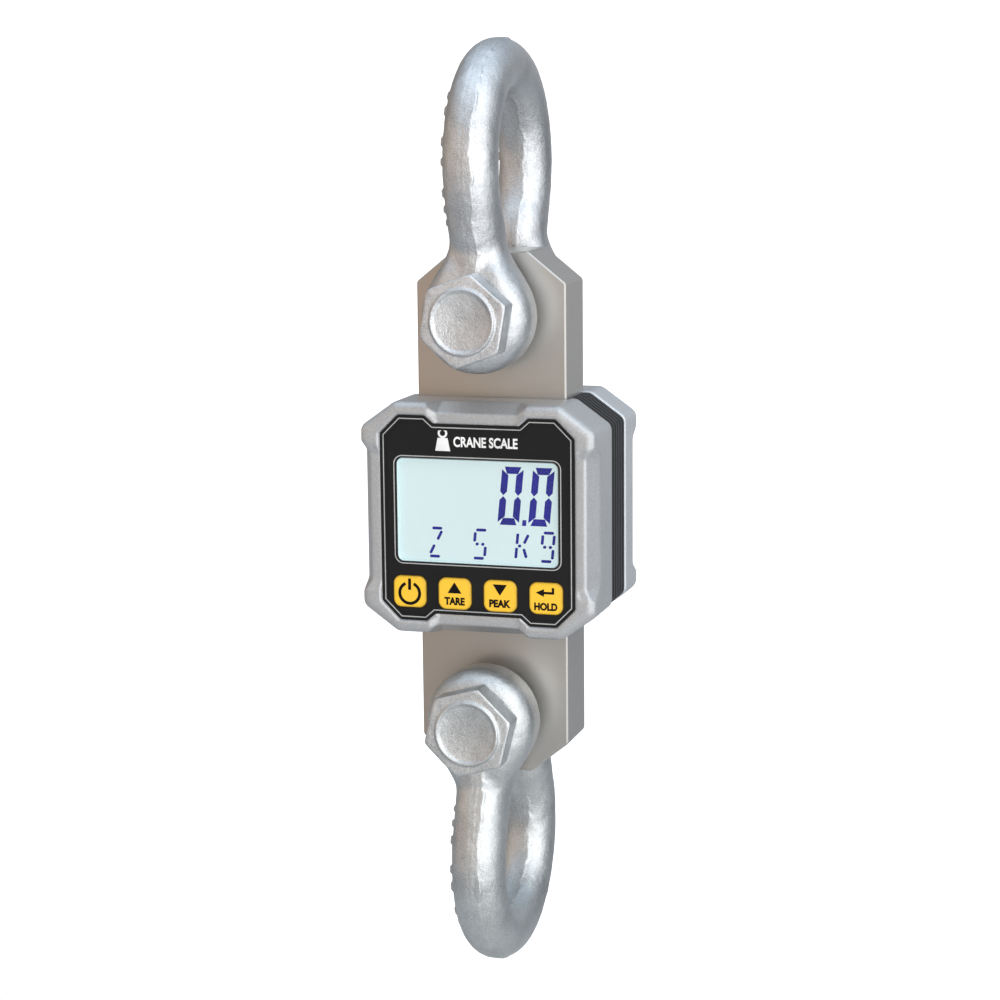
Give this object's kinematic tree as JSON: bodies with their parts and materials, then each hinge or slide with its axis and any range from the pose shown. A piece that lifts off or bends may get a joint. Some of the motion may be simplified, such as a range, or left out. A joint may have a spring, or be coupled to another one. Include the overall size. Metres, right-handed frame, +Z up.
{
  "type": "crane scale",
  "caption": "Hanging crane scale: flat steel load link in a sealed indicator housing, with a pinned bow shackle at each end, a backlit display and keys.",
  "frame": {"origin": "hook seat: inside crown of the upper bow, on the middle plane", "axes": "+Z up along the line of load, -Y out of the display, +X to the reader's right"},
  "size_m": [0.1124, 0.1372, 0.438],
  "materials": {
    "galvanised": "hot-dip galvanised, rough forging",
    "nickel_steel": "satin nickel plate",
    "silver_paint": "fine speckled silver paint, semi-gloss",
    "black_rubber": "matt ribbed rubber",
    "label_black": "satin black printed film",
    "clear_window": "clear hard-coated window",
    "display": "pale backlit display",
    "white_plastic": "white light guide",
    "black_plastic": "moulded black plastic",
    "amber_key": "amber silicone rubber",
    "board_green": "solder-masked glass fibre board",
    "bright_steel": "zinc-plated steel",
    "brass": "plain brass",
    "gauge_foil": "varnished foil",
    "cell_wrap": "printed cell wrap",
    "cable_grey": "grey cable jacket"
  },
  "bodies": {
    "upper_shackle": {"upper_bow": "galvanised"},
    "upper_pin_set": {"upper_pin": "galvanised", "upper_nut": "galvanised", "upper_cotter": "bright_steel"},
    "scale_body": {"load_link": "nickel_steel", "front_pocket_cover": "bright_steel", "rear_pocket_cover": "bright_steel", "strain_gauges": "gauge_foil", "front_shell": "silver_paint", "rear_shell": "silver_paint", "side_band_left": "black_rubber", "side_band_right": "black_rubber", "front_label": "label_black", "display_window": "clear_window", "display_panel": "display", "backlight": "white_plastic", "display_frame": "black_plastic", "circuit_board": "board_green", "key_switches": "black_plastic", "processor_chip": "black_plastic", "amplifier_chip": "black_plastic", "link_connector": "white_plastic", "battery_connector": "white_plastic", "buzzer": "black_plastic", "board_screws": "bright_steel", "link_seal_upper": "black_rubber", "link_seal_lower": "black_rubber", "threaded_inserts": "brass", "housing_screws": "bright_steel", "battery_tray": "black_plastic", "battery_cells": "cell_wrap", "battery_contacts": "bright_steel", "battery_cover": "silver_paint", "cover_gasket": "black_rubber", "cover_screws": "bright_steel", "gauge_cable": "cable_grey", "battery_leads": "cable_grey"},
    "lower_shackle": {"lower_bow": "galvanised"},
    "lower_pin_set": {"lower_pin": "galvanised", "lower_nut": "galvanised", "lower_cotter": "bright_steel"},
    "key_power": {"key_power": "amber_key"},
    "key_tare": {"key_tare": "amber_key"},
    "key_peak": {"key_peak": "amber_key"},
    "key_hold": {"key_hold": "amber_key"}
  },
  "joints": [
    {"name": "link_swing", "type": "hinge", "parent": "upper_shackle", "child": "scale_body", "pos_m": [0, 0, -0.1], "axis": [0, 1, 0], "range_deg": [-105, 105]},
    {"name": "upper_pin_turn", "type": "hinge", "parent": "upper_shackle", "child": "upper_pin_set", "pos_m": [0, 0, -0.1], "axis": [0, 1, 0], "continuous": true},
    {"name": "lower_shackle_swing", "type": "hinge", "parent": "scale_body", "child": "lower_shackle", "pos_m": [0, 0, -0.288], "axis": [0, 1, 0], "range_deg": [-105, 105]},
    {"name": "lower_pin_turn", "type": "hinge", "parent": "lower_shackle", "child": "lower_pin_set", "pos_m": [0, 0, -0.288], "axis": [0, 1, 0], "continuous": true},
    {"name": "key_power_press", "type": "slide", "parent": "scale_body", "child": "key_power", "axis": [0, 1, 0], "range_m": [0, 0.0008], "stiffness_N_per_m": 1200, "springref_m": -0.0006},
    {"name": "key_tare_press", "type": "slide", "parent": "scale_body", "child": "key_tare", "axis": [0, 1, 0], "range_m": [0, 0.0008], "stiffness_N_per_m": 1200, "springref_m": -0.0006},
    {"name": "key_peak_press", "type": "slide", "parent": "scale_body", "child": "key_peak", "axis": [0, 1, 0], "range_m": [0, 0.0008], "stiffness_N_per_m": 1200, "springref_m": -0.0006},
    {"name": "key_hold_press", "type": "slide", "parent": "scale_body", "child": "key_hold", "axis": [0, 1, 0], "range_m": [0, 0.0008], "stiffness_N_per_m": 1200, "springref_m": -0.0006}
  ]
}
